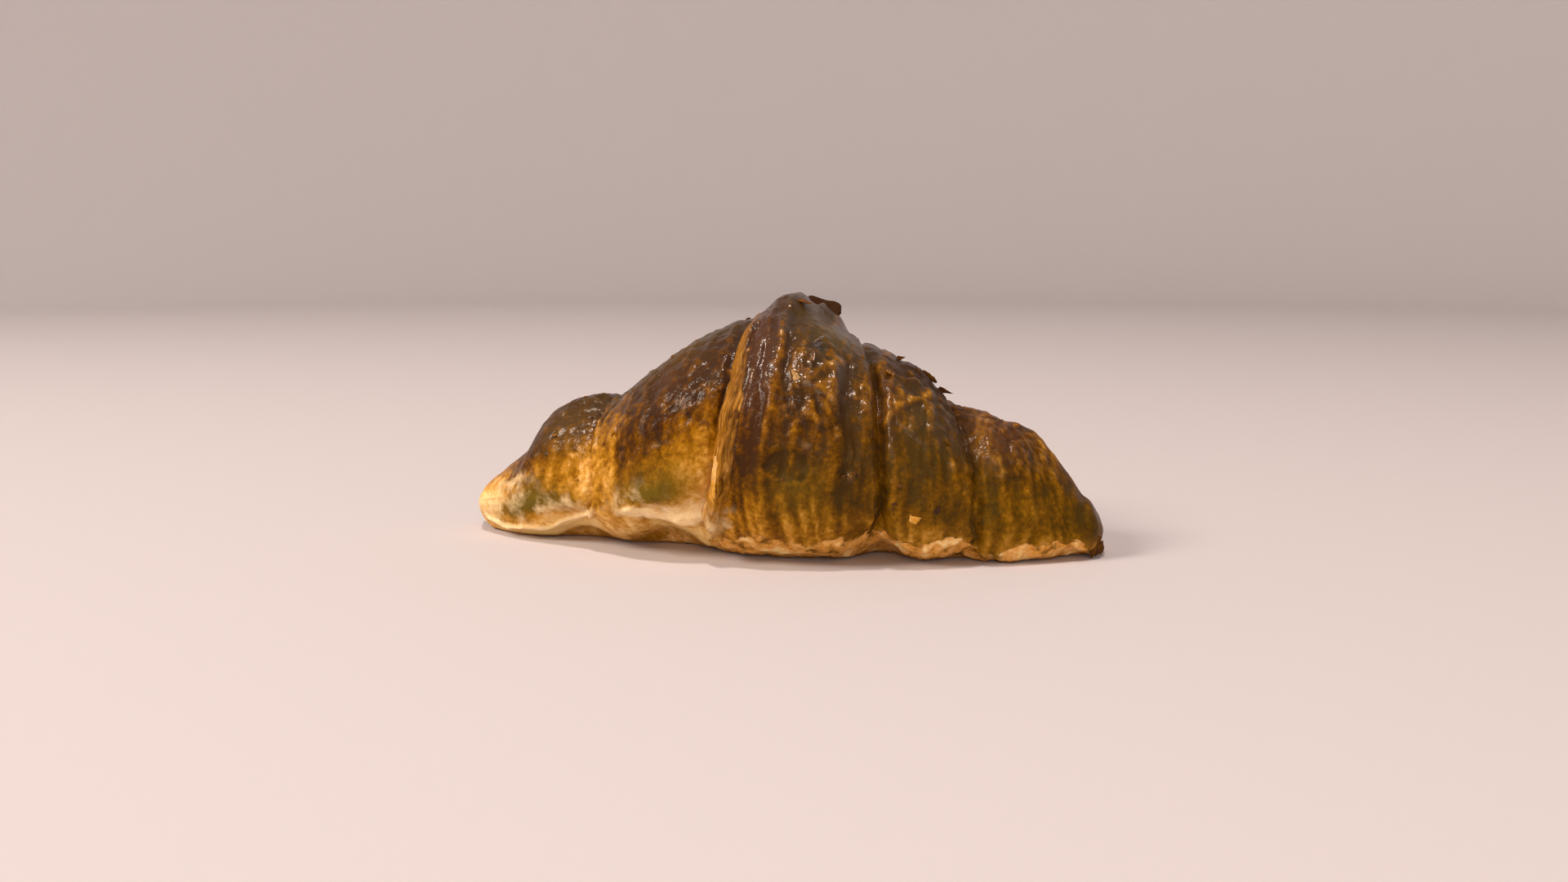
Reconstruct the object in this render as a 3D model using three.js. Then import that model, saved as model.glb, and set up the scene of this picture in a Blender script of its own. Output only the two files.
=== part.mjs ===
// Croissant rolled from one dough triangle and baked as one solid piece. Millimetres.
// +X runs along the roll, -Y is the front (the outer side of the curve), +Z is up, floor at Z = 0.
import * as THREE from 'three';

// Stations along the roll: place, height of the ridge, height of the widest line, reach to the
// front and to the back, and how far the round section would dip under the floor before it is
// flattened by it (a negative dip lifts the end clear of the floor).
const stations = [
  { at: -89.8, ridge: 7.8, waist: 6.9, front: 6.0, back: 6.0, dip: -5.0 },
  { at: -86, ridge: 10.2, waist: 7.2, front: 8.5, back: 8.5, dip: -1.5 },
  { at: -77, ridge: 17.0, waist: 8.4, front: 12.0, back: 12.0, dip: 2.5 },
  { at: -67, ridge: 25.0, waist: 10.5, front: 16.0, back: 16.0, dip: 3.0 },
  { at: -60, ridge: 34.3, waist: 14.0, front: 18.5, back: 18.5, dip: 2.7 },
  { at: -50, ridge: 37.0, waist: 15.0, front: 21.0, back: 21.0, dip: 2.1 },
  { at: -42, ridge: 37.0, waist: 15.5, front: 23.5, back: 23.5, dip: 2.3 },
  { at: -30, ridge: 44.5, waist: 19.0, front: 28.5, back: 28.0, dip: 3.0 },
  { at: -16, ridge: 53.5, waist: 22.8, front: 32.5, back: 32.0, dip: 3.0 },
  { at: 0, ridge: 61.0, waist: 26.0, front: 34.0, back: 33.5, dip: 3.0 },
  { at: 16, ridge: 54.5, waist: 23.4, front: 33.0, back: 32.0, dip: 3.0 },
  { at: 30, ridge: 46.0, waist: 19.5, front: 29.5, back: 28.5, dip: 3.0 },
  { at: 40, ridge: 40.0, waist: 17.0, front: 26.0, back: 25.0, dip: 3.5 },
  { at: 48, ridge: 35.0, waist: 15.0, front: 23.5, back: 22.5, dip: 4.0 },
  { at: 56, ridge: 33.5, waist: 14.0, front: 21.0, back: 20.0, dip: 4.5 },
  { at: 64, ridge: 30.5, waist: 12.5, front: 18.0, back: 17.0, dip: 4.0 },
  { at: 72, ridge: 21.5, waist: 9.0, front: 15.0, back: 14.5, dip: 3.5 },
  { at: 79, ridge: 12.5, waist: 6.0, front: 12.0, back: 12.0, dip: 2.5 },
  { at: 82.5, ridge: 10.0, waist: 5.0, front: 10.0, back: 10.0, dip: 1.5 },
];

// Section: exponent of the rounded outline (2 is an ellipse), length of the domed ends, powers
// that shape the left one, and the height over which the foot eases into the flat underside.
const squareness = 2.15;
const domeLength = 9;
const coneStart = 1.4;
const coneEnd = 0.8;
const footEase = 1;

// The spine bends to the back towards both tips.
const bend = { left: 13, right: 7, power: 2.2, halfLength: 85, shorten: 0.985 };

// Layer edges, left to right. Each one runs round the roll: its places along the roll are given
// at edgeAngles (degrees, 0 over the ridge, 90 at the front, -90 at the back), with the height of
// its step there. run is how far the step's face slopes along the roll.
const edgeAngles = [-120, -60, 0, 45, 90, 125];
const layerEdges = [
  { places: [-64, -59, -60, -68, -76, -80], steps: [0.3, 0.3, 0.2, 0.2, 0.2, 0.2], run: 1.6 },
  { places: [-33, -38, -42, -42.5, -41.5, -43.5], steps: [1.8, 2.0, 2.4, 2.4, 1.6, 0.6], run: 0.8 },
  { places: [0, -3, -5, -5.6, -8.5, -12.5], steps: [2.0, 1.6, 1.0, 2.2, 3.4, 4.0], run: 3.0 },
  { places: [5, 12, 20.5, 26, 27.5, 26.5], steps: [2.0, 1.6, 1.0, 2.2, 1.4, 0.8], run: 1.2 },
  { places: [31, 36, 42, 46.5, 49.5, 48.5], steps: [1.8, 2.0, 2.4, 1.8, 1.2, 0.6], run: 1.6 },
  { places: [58, 56, 57, 64, 70, 72], steps: [0.8, 1.0, 0.8, 0.6, 0.5, 0.4], run: 2.4 },
];

// Bands between the edges: rows of facets along the roll and how far each one pillows out.
const bands = [
  { rows: 11, pillow: 0.4 },
  { rows: 9, pillow: 0.8 },
  { rows: 13, pillow: 1.6 },
  { rows: 15, pillow: 1.0 },
  { rows: 11, pillow: 1.6 },
  { rows: 9, pillow: 1.2 },
  { rows: 10, pillow: 0.5 },
];
const centreBand = 3;
const stepRecovery = 5;
const facetsAround = 56;

// Raised forms: the knob and flap on the peak, the knob at the right end and a small rise on the
// right shoulder. Then arches where the creases lift off the floor, and the folds tucked under
// along the lower front of the left arm, each below a line of turns. Turns are in degrees.
const bumps = [
  { at: 4, turn: -4, rise: 2.8, along: 6.0, round: 20 },
  { at: 11.5, turn: -20, rise: 3.0, along: 4.0, round: 14 },
  { at: 80, turn: 48, rise: 3.6, along: 3.4, round: 42 },
  { at: 35.5, turn: 0, rise: 1.2, along: 4.0, round: 14 },
];
const arches = [
  { at: -26, rise: 7.0, width: 10 },
  { at: -50, rise: 4.5, width: 9 },
  { at: 27.5, rise: 5.0, width: 5 },
  { at: 47, rise: 2.0, width: 5 },
  { at: 74, rise: 2.0, width: 4 },
];
const tucks = [
  { at: [-84, -72, -65, -57.5, -49, -44, -40.5], turn: [112, 124, 126, 140, 138, 124, 104], depth: 1.5 },
  { at: [-30, -28, -24, -20.5, -15.8, -8], turn: [119, 134, 138, 136, 130, 124], depth: 2.2 },
];
const tuckWidth = 0.08;

// Turns (radians) over which the relief of the layers, an arch and a tuck begin and end.
const reliefEnd = [2.1, 2.7];
const archStart = [1.65, 2.25];
const archEnd = [2.75, 3.1];
const tuckEnd = [2.2, 2.7];

const crust = new THREE.MeshStandardMaterial({ color: 0x8a5424, roughness: 0.45, metalness: 0 });

const radians = THREE.MathUtils.degToRad;
const easeBetween = THREE.MathUtils.smoothstep;

// Smooth curve through (xs, ys): cubic pieces, each slope taken across the two neighbours.
function throughPoints(xs, ys, x) {
  const last = xs.length - 1;
  const place = THREE.MathUtils.clamp(x, xs[0], xs[last]);
  let k = 0;
  while (k < last - 1 && place > xs[k + 1]) {
    k += 1;
  }
  const slopeAt = (i) => {
    const before = Math.max(i - 1, 0);
    const after = Math.min(i + 1, last);
    return (ys[after] - ys[before]) / (xs[after] - xs[before]);
  };
  const width = xs[k + 1] - xs[k];
  const t = (place - xs[k]) / width;
  const fromLeft = ys[k] * (1 + 2 * t) * (1 - t) ** 2 + slopeAt(k) * width * t * (1 - t) ** 2;
  const fromRight = ys[k + 1] * t * t * (3 - 2 * t) + slopeAt(k + 1) * width * t * t * (t - 1);
  return fromLeft + fromRight;
}

const places = stations.map((station) => station.at);
const sectionValue = (key, s) => throughPoints(places, stations.map((station) => station[key]), s);

// Value of an edge's row at any turn: the same curve, carried once more round on either side.
function valueAround(values, turn) {
  const angles = [];
  const repeated = [];
  for (const wrap of [-360, 0, 360]) {
    edgeAngles.forEach((angle, i) => {
      angles.push(radians(angle + wrap));
      repeated.push(values[i]);
    });
  }
  return throughPoints(angles, repeated, turn);
}

// Closes the section down to a point at both tips: nearly a cone on the left, a quarter circle
// on the right.
function dome(s) {
  const left = Math.max((places[0] + domeLength - s) / domeLength, 0);
  const right = Math.max((s - places[places.length - 1] + domeLength) / domeLength, 0);
  return (1 - Math.min(left, 1) ** coneStart) ** coneEnd * Math.sqrt(Math.max(1 - right * right, 0));
}

// Relief added to the section at place s and turn: bumps, less the tucked folds.
function smallForms(s, turn) {
  let relief = 0;
  for (const bump of bumps) {
    const alongPart = (s - bump.at) / bump.along;
    const roundPart = (turn - radians(bump.turn)) / radians(bump.round);
    relief += bump.rise * Math.exp(-((alongPart ** 2 + roundPart ** 2) ** 2));
  }
  for (const tuck of tucks) {
    const line = radians(throughPoints(tuck.at, tuck.turn, s));
    const [first, second] = tuck.at;
    const [nextToLast, last] = tuck.at.slice(-2);
    const ends = easeBetween(s, first, second) * (1 - easeBetween(s, nextToLast, last));
    const under = easeBetween(turn, line, line + tuckWidth) * (1 - easeBetween(turn, ...tuckEnd));
    relief -= tuck.depth * under * ends;
  }
  return relief;
}

// Point of the crust at place s and turn, pushed out by offset: a rounded section standing on the
// bent spine, lifted by the arches and flattened where it meets the floor.
function crustPoint(s, turn, offset) {
  const scale = dome(s);
  const waist = sectionValue('waist', s);
  const upright = Math.cos(turn);
  const sideways = Math.sin(turn);
  const height = upright >= 0 ? sectionValue('ridge', s) - waist : waist + sectionValue('dip', s);
  const reach = sectionValue(sideways >= 0 ? 'front' : 'back', s);
  const powers = Math.abs(sideways) ** squareness + Math.abs(upright) ** squareness;
  const radius = powers ** (-1 / squareness);
  const relief = (offset + smallForms(s, turn)) * scale;
  const out = -sideways * (reach * scale * radius + relief);
  let z = waist + upright * (height * scale * radius + relief);
  const under = easeBetween(turn, ...archStart) * (1 - easeBetween(turn, ...archEnd));
  for (const arch of arches) {
    z += arch.rise * scale * Math.exp(-(((s - arch.at) / arch.width) ** 2)) * under;
  }
  if (z < -footEase) {
    z = 0;
  } else if (z < footEase) {
    z = (z + footEase) ** 2 / (4 * footEase);
  }
  const q = Math.abs(s) / bend.halfLength;
  const sweep = s < 0 ? bend.left : bend.right;
  const slope = (sweep * bend.power * q ** (bend.power - 1) * Math.sign(s)) / bend.halfLength;
  const length = Math.hypot(1, slope);
  const x = s * bend.shorten - (out * slope) / length;
  const y = sweep * q ** bend.power + out / length;
  return [x, y, z];
}

// Rows of one band at a turn, as { s, offset }: the band steps up at the side nearer the centre
// band and down at the other, and pillows out between the two.
function bandRows(index, turn) {
  const left = layerEdges[index - 1];
  const right = layerEdges[index];
  const start = left ? valueAround(left.places, turn) + left.run / 2 : places[0];
  const end = right ? valueAround(right.places, turn) - right.run / 2 : places[places.length - 1];
  const leftHalf = left ? valueAround(left.steps, turn) / 2 : 0;
  const rightHalf = right ? valueAround(right.steps, turn) / 2 : 0;
  const leftLevel = index <= centreBand ? leftHalf : -leftHalf;
  const rightLevel = index < centreBand ? -rightHalf : rightHalf;
  const { rows, pillow } = bands[index];
  const relief = 1 - easeBetween(Math.abs(turn), ...reliefEnd);
  return Array.from({ length: rows }, (_, row) => {
    let x = row / (rows - 1);
    if (!left) {
      x = 1 - Math.cos((x * Math.PI) / 2);
    }
    if (!right) {
      x = Math.sin((x * Math.PI) / 2);
    }
    let level = leftLevel + (rightLevel - leftLevel) * x;
    if (index < centreBand) {
      level = leftLevel + (rightLevel - leftLevel) * Math.exp((-(1 - x) * (end - start)) / stepRecovery);
    }
    if (index > centreBand) {
      level = rightLevel + (leftLevel - rightLevel) * Math.exp((-x * (end - start)) / stepRecovery);
    }
    const offset = (level + pillow * Math.sin(Math.PI * x)) * relief;
    return { s: start + (end - start) * x, offset };
  });
}

// A sphere's rows and columns carry the crust: rows along the roll, columns round it.
const rowCount = bands.reduce((sum, band) => sum + band.rows, 0);
const body = new THREE.SphereGeometry(1, facetsAround, rowCount - 1);
const corners = body.getAttribute('position');
for (let column = 0; column <= facetsAround; column += 1) {
  const turn = Math.PI - (2 * Math.PI * (column % facetsAround)) / facetsAround;
  const rows = bands.flatMap((_, index) => bandRows(index, turn));
  rows.forEach(({ s, offset }, row) => {
    corners.setXYZ(row * (facetsAround + 1) + column, ...crustPoint(s, turn, offset));
  });
}

// The origin is the middle of the underside's outline.
body.computeBoundingBox();
const middle = body.boundingBox.getCenter(new THREE.Vector3());
body.translate(-middle.x, -middle.y, -body.boundingBox.min.z);
body.deleteAttribute('uv');
body.computeVertexNormals();

const croissant = new THREE.Mesh(body, crust);
croissant.name = 'croissant';

const group = new THREE.Group();
group.name = 'croissant_part';
group.add(croissant);

export default group;
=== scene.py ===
import bpy
import numpy as np
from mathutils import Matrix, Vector


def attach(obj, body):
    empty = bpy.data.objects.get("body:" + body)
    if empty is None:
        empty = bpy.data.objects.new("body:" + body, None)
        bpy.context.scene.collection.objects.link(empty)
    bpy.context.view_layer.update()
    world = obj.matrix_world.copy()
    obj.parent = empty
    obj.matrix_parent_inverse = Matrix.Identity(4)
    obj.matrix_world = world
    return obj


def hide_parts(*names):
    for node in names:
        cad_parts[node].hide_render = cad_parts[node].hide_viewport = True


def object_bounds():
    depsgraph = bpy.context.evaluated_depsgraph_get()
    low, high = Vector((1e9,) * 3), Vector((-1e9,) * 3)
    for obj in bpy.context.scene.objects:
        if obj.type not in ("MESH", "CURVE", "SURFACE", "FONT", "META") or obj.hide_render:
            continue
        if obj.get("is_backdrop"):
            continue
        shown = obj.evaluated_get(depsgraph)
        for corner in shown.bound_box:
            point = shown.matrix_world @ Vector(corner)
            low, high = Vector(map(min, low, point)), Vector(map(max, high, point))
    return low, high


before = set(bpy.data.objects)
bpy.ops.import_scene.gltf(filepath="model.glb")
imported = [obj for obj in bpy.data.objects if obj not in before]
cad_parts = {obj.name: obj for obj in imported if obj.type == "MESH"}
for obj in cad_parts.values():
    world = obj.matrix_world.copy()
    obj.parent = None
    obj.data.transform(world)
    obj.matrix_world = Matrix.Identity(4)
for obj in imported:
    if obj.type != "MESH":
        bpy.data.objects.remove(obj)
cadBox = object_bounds()

mm = 0.001  # shapes are worked out in millimetres and put into Blender's metres
fullTurn = 2 * np.pi
sheetCells, blockCells = 64, 32  # random values along a sheet of noise, and along a block's side


# ease from 0 at low to 1 at high: 3tt - 2ttt of the share t between them
def smoothStep(x, low, high):
    t = np.clip((x - low) / (high - low), 0, 1)
    return t * t * (3 - 2 * t)


# cubic pieces through (xs, ys), each slope taken across the two neighbours
def throughPoints(xs, ys, x):
    xs, ys = np.array(xs, float), np.array(ys, float)
    order = np.arange(len(xs))
    before, after = np.maximum(order - 1, 0), np.minimum(order + 1, len(xs) - 1)
    slopes = (ys[after] - ys[before]) / (xs[after] - xs[before])
    x = np.clip(x, xs[0], xs[-1])
    k = np.clip(np.searchsorted(xs, x) - 1, 0, len(xs) - 2)
    width = xs[k + 1] - xs[k]
    t = (x - xs[k]) / width
    fromLeft = ys[k] * (1 + 2 * t) * (1 - t) ** 2 + slopes[k] * width * t * (1 - t) ** 2
    fromRight = ys[k + 1] * t * t * (3 - 2 * t) + slopes[k + 1] * width * t * t * (t - 1)
    return fromLeft + fromRight


# the same curve closed round the roll: values at angles in degrees, turn in radians
def roundTheRoll(angles, values, turn):
    wrapped = [a + lap for lap in (-360, 0, 360) for a in angles]
    return throughPoints(np.radians(wrapped), list(values) * 3, turn)


# random heights from -1 to 1 on whole-number corners, eased between; w repeats after wrap cells
def sheetNoise(u, w, wrap, seed):
    table = np.random.default_rng(seed).uniform(-1, 1, (sheetCells, wrap))
    u0, w0 = np.floor(u).astype(int), np.floor(w).astype(int)
    a, b = u - u0, w - w0
    a, b = a * a * (3 - 2 * a), b * b * (3 - 2 * b)
    corner = lambda i, j: table[(u0 + i) % sheetCells, (w0 + j) % wrap]
    near = corner(0, 0) * (1 - a) + corner(1, 0) * a
    far = corner(0, 1) * (1 - a) + corner(1, 1) * a
    return near * (1 - b) + far * b


# the same in space: random values on the corners of cubes of side size, eased between
def blockNoise(points, size, seed):
    table = np.random.default_rng(seed).uniform(-1, 1, (blockCells,) * 3)
    cell = points / size
    base = np.floor(cell).astype(int)
    t = cell - base
    t = t * t * (3 - 2 * t)
    total = 0
    for i in (0, 1):
        for j in (0, 1):
            for k in (0, 1):
                weight = (np.where(i, t[..., 0], 1 - t[..., 0])
                          * np.where(j, t[..., 1], 1 - t[..., 1])
                          * np.where(k, t[..., 2], 1 - t[..., 2]))
                corner = (base + (i, j, k)) % blockCells
                total += weight * table[corner[..., 0], corner[..., 1], corner[..., 2]]
    return total


# layers of space noise, each half the size and half the strength of the one before
def cloudNoise(points, size, seed, layers=3):
    total, strength = 0, 0
    for n in range(layers):
        total += blockNoise(points, size / 2 ** n, seed + n) / 2 ** n
        strength += 1 / 2 ** n
    return total / strength


# cloud noise times a height in mm, with all its values in one row
def rough(points, size, seed, layers, height):
    return height * cloudNoise(points, size, seed, layers)


# noise on the roll: cells this long (mm) at place s, and this many round it; lap is 0.5 to 1.5
def rollNoise(s, lap, size, cells, seed):
    return sheetNoise(s / size, lap * cells, cells, seed)


# 1 between full and fade, easing to 0 at start and at end
def within(x, start, full, fade, end):
    return smoothStep(x, start, full) * (1 - smoothStep(x, fade, end))


# an area of the roll: its middle (mm along, degrees round: 0 over the ridge, 90 down the front), its
# reach both ways, and what it carries
def area(at, turn, along, across, **rest):
    return {"at": at, "turn": turn, "along": along, "round": across, **rest}


print("croissant: shape")

roll = {
    # stations along the roll (mm): ridge height, height of the widest line, reach to the front
    # and to the back, and how far the section would dip under the floor that flattens it
    "at": [-89.8, -86, -77, -67, -60, -50, -42, -30, -16, 0, 16, 30, 40, 48, 56, 64, 72, 79, 82.5],
    "ridge": [7.8, 10.2, 17, 25, 34.3, 37, 37, 44.5, 53.5, 61, 54.5, 46, 40, 35, 33.5, 30.5, 21.5, 12.5, 10],
    "waist": [6.9, 7.2, 8.4, 10.5, 14, 15, 15.5, 19, 22.8, 26, 23.4, 19.5, 17, 15, 14, 12.5, 9, 6, 5],
    "front": [6, 8.5, 12, 16, 18.5, 21, 23.5, 28.5, 32.5, 34, 33, 29.5, 26, 23.5, 21, 18, 15, 12, 10],
    "back": [6, 8.5, 12, 16, 18.5, 21, 23.5, 28, 32, 33.5, 32, 28.5, 25, 22.5, 20, 17, 14.5, 12, 10],
    "dip": [-5, -1.5, 2.5, 3, 2.7, 2.1, 2.3, 3, 3, 3, 3, 3, 3.5, 4, 4.5, 4, 3.5, 2.5, 1.5],
    "squareness": 2.15,  # 2 is an ellipse, more is boxier
    "domeLength": 9,  # mm in which the section closes at each tip
    "leftCone": (1.4, 0.8),  # powers that draw the left tip out to a blunt cone
    "footEase": 1,  # mm over which the floor flattens the underside
    "bendLeft": 13, "bendRight": 7,  # mm that each end bends back
    "bendPower": 2.2, "halfLength": 85, "shorten": 0.985,
    # where the creases lift off the floor: place, rise and half width
    "arches": [(-26, 7, 10), (-50, 4.5, 9), (27.5, 5, 5), (47, 2, 5), (74, 2, 4)],
    "bumps": [  # the knob and the flap on the peak
        area(4, -4, 6, 20, rise=2.8),
        area(11.5, -20, 4, 14, rise=3),
        area(80, 48, 3.4, 42, rise=3.6),
        area(35.5, 0, 4, 14, rise=1.2),
    ],
    "tucks": [  # folds turned under: the crust above stands out over the dough below these lines
        {"at": [-84, -72, -65, -57.5, -49, -44, -40.5],
         "turn": [112, 124, 126, 140, 138, 124, 104], "depth": 1.5},
        {"at": [-30, -28, -24, -20.5, -15.8, -8], "turn": [119, 134, 138, 136, 130, 124], "depth": 2.2},
    ],
    "tuckWidth": 0.08, "tuckEnd": (2.2, 2.7),  # turns (radians) over which a tuck starts and fades
    "archSpan": (1.65, 2.25, 2.75, 3.1),  # turns between which the arches lift the underside
}

layers = {
    # layer edges from left to right: places along the roll and step heights at these turns
    "angles": [-120, -60, 0, 45, 90, 125],
    "edges": [
        {"places": [-64, -59, -60, -68, -76, -80], "steps": [0.3, 0.3, 0.2, 0.2, 0.2, 0.2], "run": 1.6},
        {"places": [-33, -38, -42, -42.5, -41.5, -43.5], "steps": [1.8, 2, 2.4, 2.4, 1.6, 0.6], "run": 0.8},
        {"places": [0, -3, -5, -5.6, -8.5, -12.5], "steps": [2, 1.6, 1, 2.2, 3.4, 4], "run": 3.0},
        {"places": [5, 12, 20.5, 26, 27.5, 26.5], "steps": [2, 1.6, 1, 2.2, 1.4, 0.8], "run": 1.2},
        {"places": [31, 36, 42, 46.5, 49.5, 48.5], "steps": [1.8, 2, 2.4, 1.8, 1.2, 0.6], "run": 1.6},
        {"places": [58, 56, 57, 64, 70, 72], "steps": [0.8, 1, 0.8, 0.6, 0.5, 0.4], "run": 2.4},
    ],
    "rows": [48, 56, 72, 84, 62, 52, 44],  # mesh rows in each band between the edges
    "faceRows": [3, 4, 9, 4, 4, 3],  # mesh rows on each edge's cut face
    "pillows": [0.4, 0.8, 1.6, 1, 1.6, 1.2, 0.5],  # mm that each band swells in its middle
    "centreBand": 3,
    "recovery": 5,  # mm over which a band falls back from its raised edge
    "ragged": [0.2, 0.5, 0.6, 0.45, 0.8, 0.6],  # share of the waves on each edge
    "wander": [(40, 11, 0.7), (110, 12, 0.45)],  # those waves: cells round, seed, mm
    "fade": (2.1, 2.7),  # turns (radians) over which the layers fade out under the roll
    "crowding": 0.45,  # rows stand closer beside the edges
    "columns": 224,
    "frontTurn": 65, "frontShare": 0.35,  # columns stand closer round this turn
}


# one of the roll's own measures at place s
def station(key, s):
    return throughPoints(roll["at"], roll[key], s)


# closes the section at both tips: (1 - l^a)^b on the left, which is nearly a cone, and a quarter
# circle on the right, for the shares l and r of the last stretch
def dome(s):
    length = roll["domeLength"]
    left = np.clip((roll["at"][0] + length - s) / length, 0, 1)
    right = np.clip((s - roll["at"][-1] + length) / length, 0, 1)
    inner, outer = roll["leftCone"]
    return (1 - left ** inner) ** outer * np.sqrt(1 - right ** 2)


# rounded bumps exp(-r^4), less the folds tucked under a line that slants round the roll
def smallForms(s, turn):
    height = 0
    for bump in roll["bumps"]:
        r = ((s - bump["at"]) / bump["along"]) ** 2
        r += ((turn - np.radians(bump["turn"])) / np.radians(bump["round"])) ** 2
        height += bump["rise"] * np.exp(-r * r)
    for tuck in roll["tucks"]:
        line = np.radians(throughPoints(tuck["at"], tuck["turn"], s))
        under = within(turn, line, line + roll["tuckWidth"], *roll["tuckEnd"])
        height = height - tuck["depth"] * under * within(s, *tuck["at"][:2], *tuck["at"][-2:])
    return height


# how far the creases lift the underside: a rounded arch over each
def archLift(s):
    return sum(rise * np.exp(-((s - at) / width) ** 2) for at, rise, width in roll["arches"])


# point of the crust at place s and turn, pushed out by offset: a rounded section of squareness
# between ellipse and box stands on the bent spine, arches lift it, the floor flattens it
def crustPoint(s, turn, offset):
    scale = dome(s)
    waist = station("waist", s)
    upright, sideways = np.cos(turn), np.sin(turn)
    height = np.where(upright >= 0, station("ridge", s) - waist, waist + station("dip", s))
    reach = np.where(sideways >= 0, station("front", s), station("back", s))
    power = roll["squareness"]
    radius = (np.abs(sideways) ** power + np.abs(upright) ** power) ** (-1 / power)
    added = (offset + smallForms(s, turn)) * scale
    out = -sideways * (reach * scale * radius + added)
    z = waist + upright * (height * scale * radius + added)
    z += archLift(s) * scale * within(turn, *roll["archSpan"])
    ease = roll["footEase"]
    z = np.where(z > ease, z, np.where(z < -ease, 0, (z + ease) ** 2 / (4 * ease)))
    q = np.abs(s) / roll["halfLength"]
    sweep = np.where(s < 0, roll["bendLeft"], roll["bendRight"])
    slope = sweep * roll["bendPower"] * q ** (roll["bendPower"] - 1) * np.sign(s) / roll["halfLength"]
    length = np.hypot(1, slope)
    x = s * roll["shorten"] - out * slope / length
    y = sweep * q ** roll["bendPower"] + out / length
    return np.stack([x, y, z], -1)


# places of one edge round the roll, with a small ragged wander
def edgePlaces(n, turn):
    lap = turn / fullTurn + 1
    wander = sum(size * sheetNoise(turn * 0 + n, lap * cells, cells, seed)
                 for cells, seed, size in layers["wander"])
    return roundTheRoll(layers["angles"], layers["edges"][n]["places"], turn) + wander * layers["ragged"][n]


# rows of every band and edge face in order: place s, offset, band number, cut-face share, and the
# distances from the band's start and to its end
def layeredRows(turn):
    edges, last = layers["edges"], len(layers["rows"]) - 1
    fade = 1 - smoothStep(np.abs(turn), *layers["fade"])
    rows = []
    for band in range(last + 1):
        start, end = turn * 0 + roll["at"][0], turn * 0 + roll["at"][-1]
        leftLevel, rightLevel = turn * 0, turn * 0
        if band > 0:
            start = edgePlaces(band - 1, turn) + edges[band - 1]["run"] / 2
            leftLevel = roundTheRoll(layers["angles"], edges[band - 1]["steps"], turn) / 2
        if band < last:
            end = edgePlaces(band, turn) - edges[band]["run"] / 2
            rightLevel = roundTheRoll(layers["angles"], edges[band]["steps"], turn) / 2
        leftLevel = leftLevel if band <= layers["centreBand"] else -leftLevel
        rightLevel = -rightLevel if band < layers["centreBand"] else rightLevel
        x = np.linspace(0, 1, layers["rows"][band])[:, None]
        if band == 0:
            x = 1 - np.cos(x * np.pi / 2)
        elif band == last:
            x = np.sin(x * np.pi / 2)
        else:
            x = x - layers["crowding"] * np.sin(fullTurn * x) / fullTurn
        s = start + (end - start) * x
        level = leftLevel + (rightLevel - leftLevel) * x
        if band < layers["centreBand"]:
            level = leftLevel + (rightLevel - leftLevel) * np.exp(-(end - s) / layers["recovery"])
        if band > layers["centreBand"]:
            level = rightLevel + (leftLevel - rightLevel) * np.exp(-(s - start) / layers["recovery"])
        offset = (level + layers["pillows"][band] * np.sin(np.pi * x)) * fade
        rows.append((s, offset, s * 0 + band, s * 0, s - start, end - s))
    ordered = []
    for band, row in enumerate(rows):
        s, offset = row[:2]
        ordered.append(row)
        if band == last:
            break
        x = np.linspace(0, 1, layers["faceRows"][band] + 2)[1:-1, None]
        rising = np.sin(x * np.pi / 2) if band < layers["centreBand"] else 1 - np.cos(x * np.pi / 2)
        nextS, nextOffset = rows[band + 1][0][0], rows[band + 1][1][0]
        faceS = s[-1] + (nextS - s[-1]) * x
        faceOffset = offset[-1] + (nextOffset - offset[-1]) * rising
        ordered.append((faceS, faceOffset, faceS * 0 + band + 0.5, faceS * 0 + 1, faceS * 0, faceS * 0))
    return [np.concatenate(parts) for parts in zip(*ordered)]


# turns of the columns: even steps pushed together round the front, from -pi to pi
def columnTurns():
    even = np.linspace(-np.pi, np.pi, layers["columns"], endpoint=False)
    middle = np.radians(layers["frontTurn"])
    turn = even - layers["frontShare"] * np.sin(even - middle)
    return (turn + np.pi) % fullTurn - np.pi


# distance in mm from a chain of places (mm along, degrees round) laid over the roll, and the
# share of the way along the chain; degrees are turned into mm by the roll's own size there
def fromChain(chain, s, turn, across):
    best, share = s * 0 + 1e9, s * 0
    for n, ((s0, v0), (s1, v1)) in enumerate(zip(chain, chain[1:])):
        stepS, stepW = s1 - s0, np.radians(v1 - v0) * across
        ps, pw = s - s0, (turn - np.radians(v0)) * across
        t = np.clip((ps * stepS + pw * stepW) / (stepS ** 2 + stepW ** 2), 0, 1)
        distance = np.hypot(ps - t * stepS, pw - t * stepW)
        near = distance < best
        best, share = np.where(near, distance, best), np.where(near, (n + t) / (len(chain) - 1), share)
    return best, share


lips = {
    # on the high side of each layer edge a rounded lip, on the low side a groove, then a swell
    "lip": [0, 0.55, 0.5, 0.35, 0.4, 0.3],
    "groove": [0, 0.7, 0.5, 1.3, 0.7, 0.4],
    "swell": [0.0, 0.0, 0.0, 0.9, 0.4, 0.2],
    "lipWidth": 1.1, "grooveWidth": 1.3, "swellAt": 3.4, "swellWidth": 1.7,
    "ridgeShare": 0.3, "ridgeTurn": (0.15, 0.7),  # what is left of them over the ridge
}


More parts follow.
